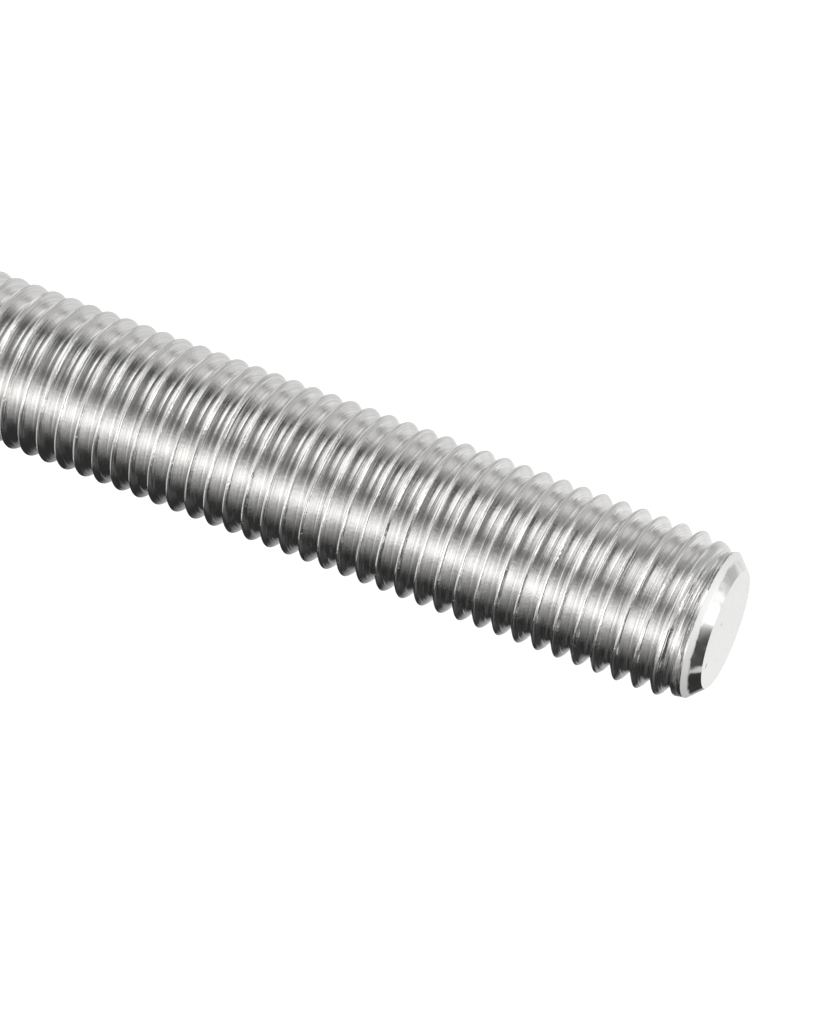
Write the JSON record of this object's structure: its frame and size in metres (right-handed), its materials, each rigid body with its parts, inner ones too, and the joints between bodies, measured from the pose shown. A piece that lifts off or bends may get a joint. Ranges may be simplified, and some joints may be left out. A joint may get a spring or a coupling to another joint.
{
  "type": "threaded rod",
  "caption": "Straight steel rod with a left-hand metric thread from end to end and a 45 degree bevel on each flat end face.",
  "frame": {"origin": "middle of the lower end face, on the surface that the rod stands on", "axes": "+Z along the rod, from the lower end face to the upper one"},
  "size_m": [0.0158, 0.0158, 0.15],
  "materials": {
    "bright_steel": "bright rolled stainless steel, with fine lines that run round the thread"
  },
  "bodies": {
    "root": {"threaded_rod": "bright_steel"}
  },
  "joints": []
}
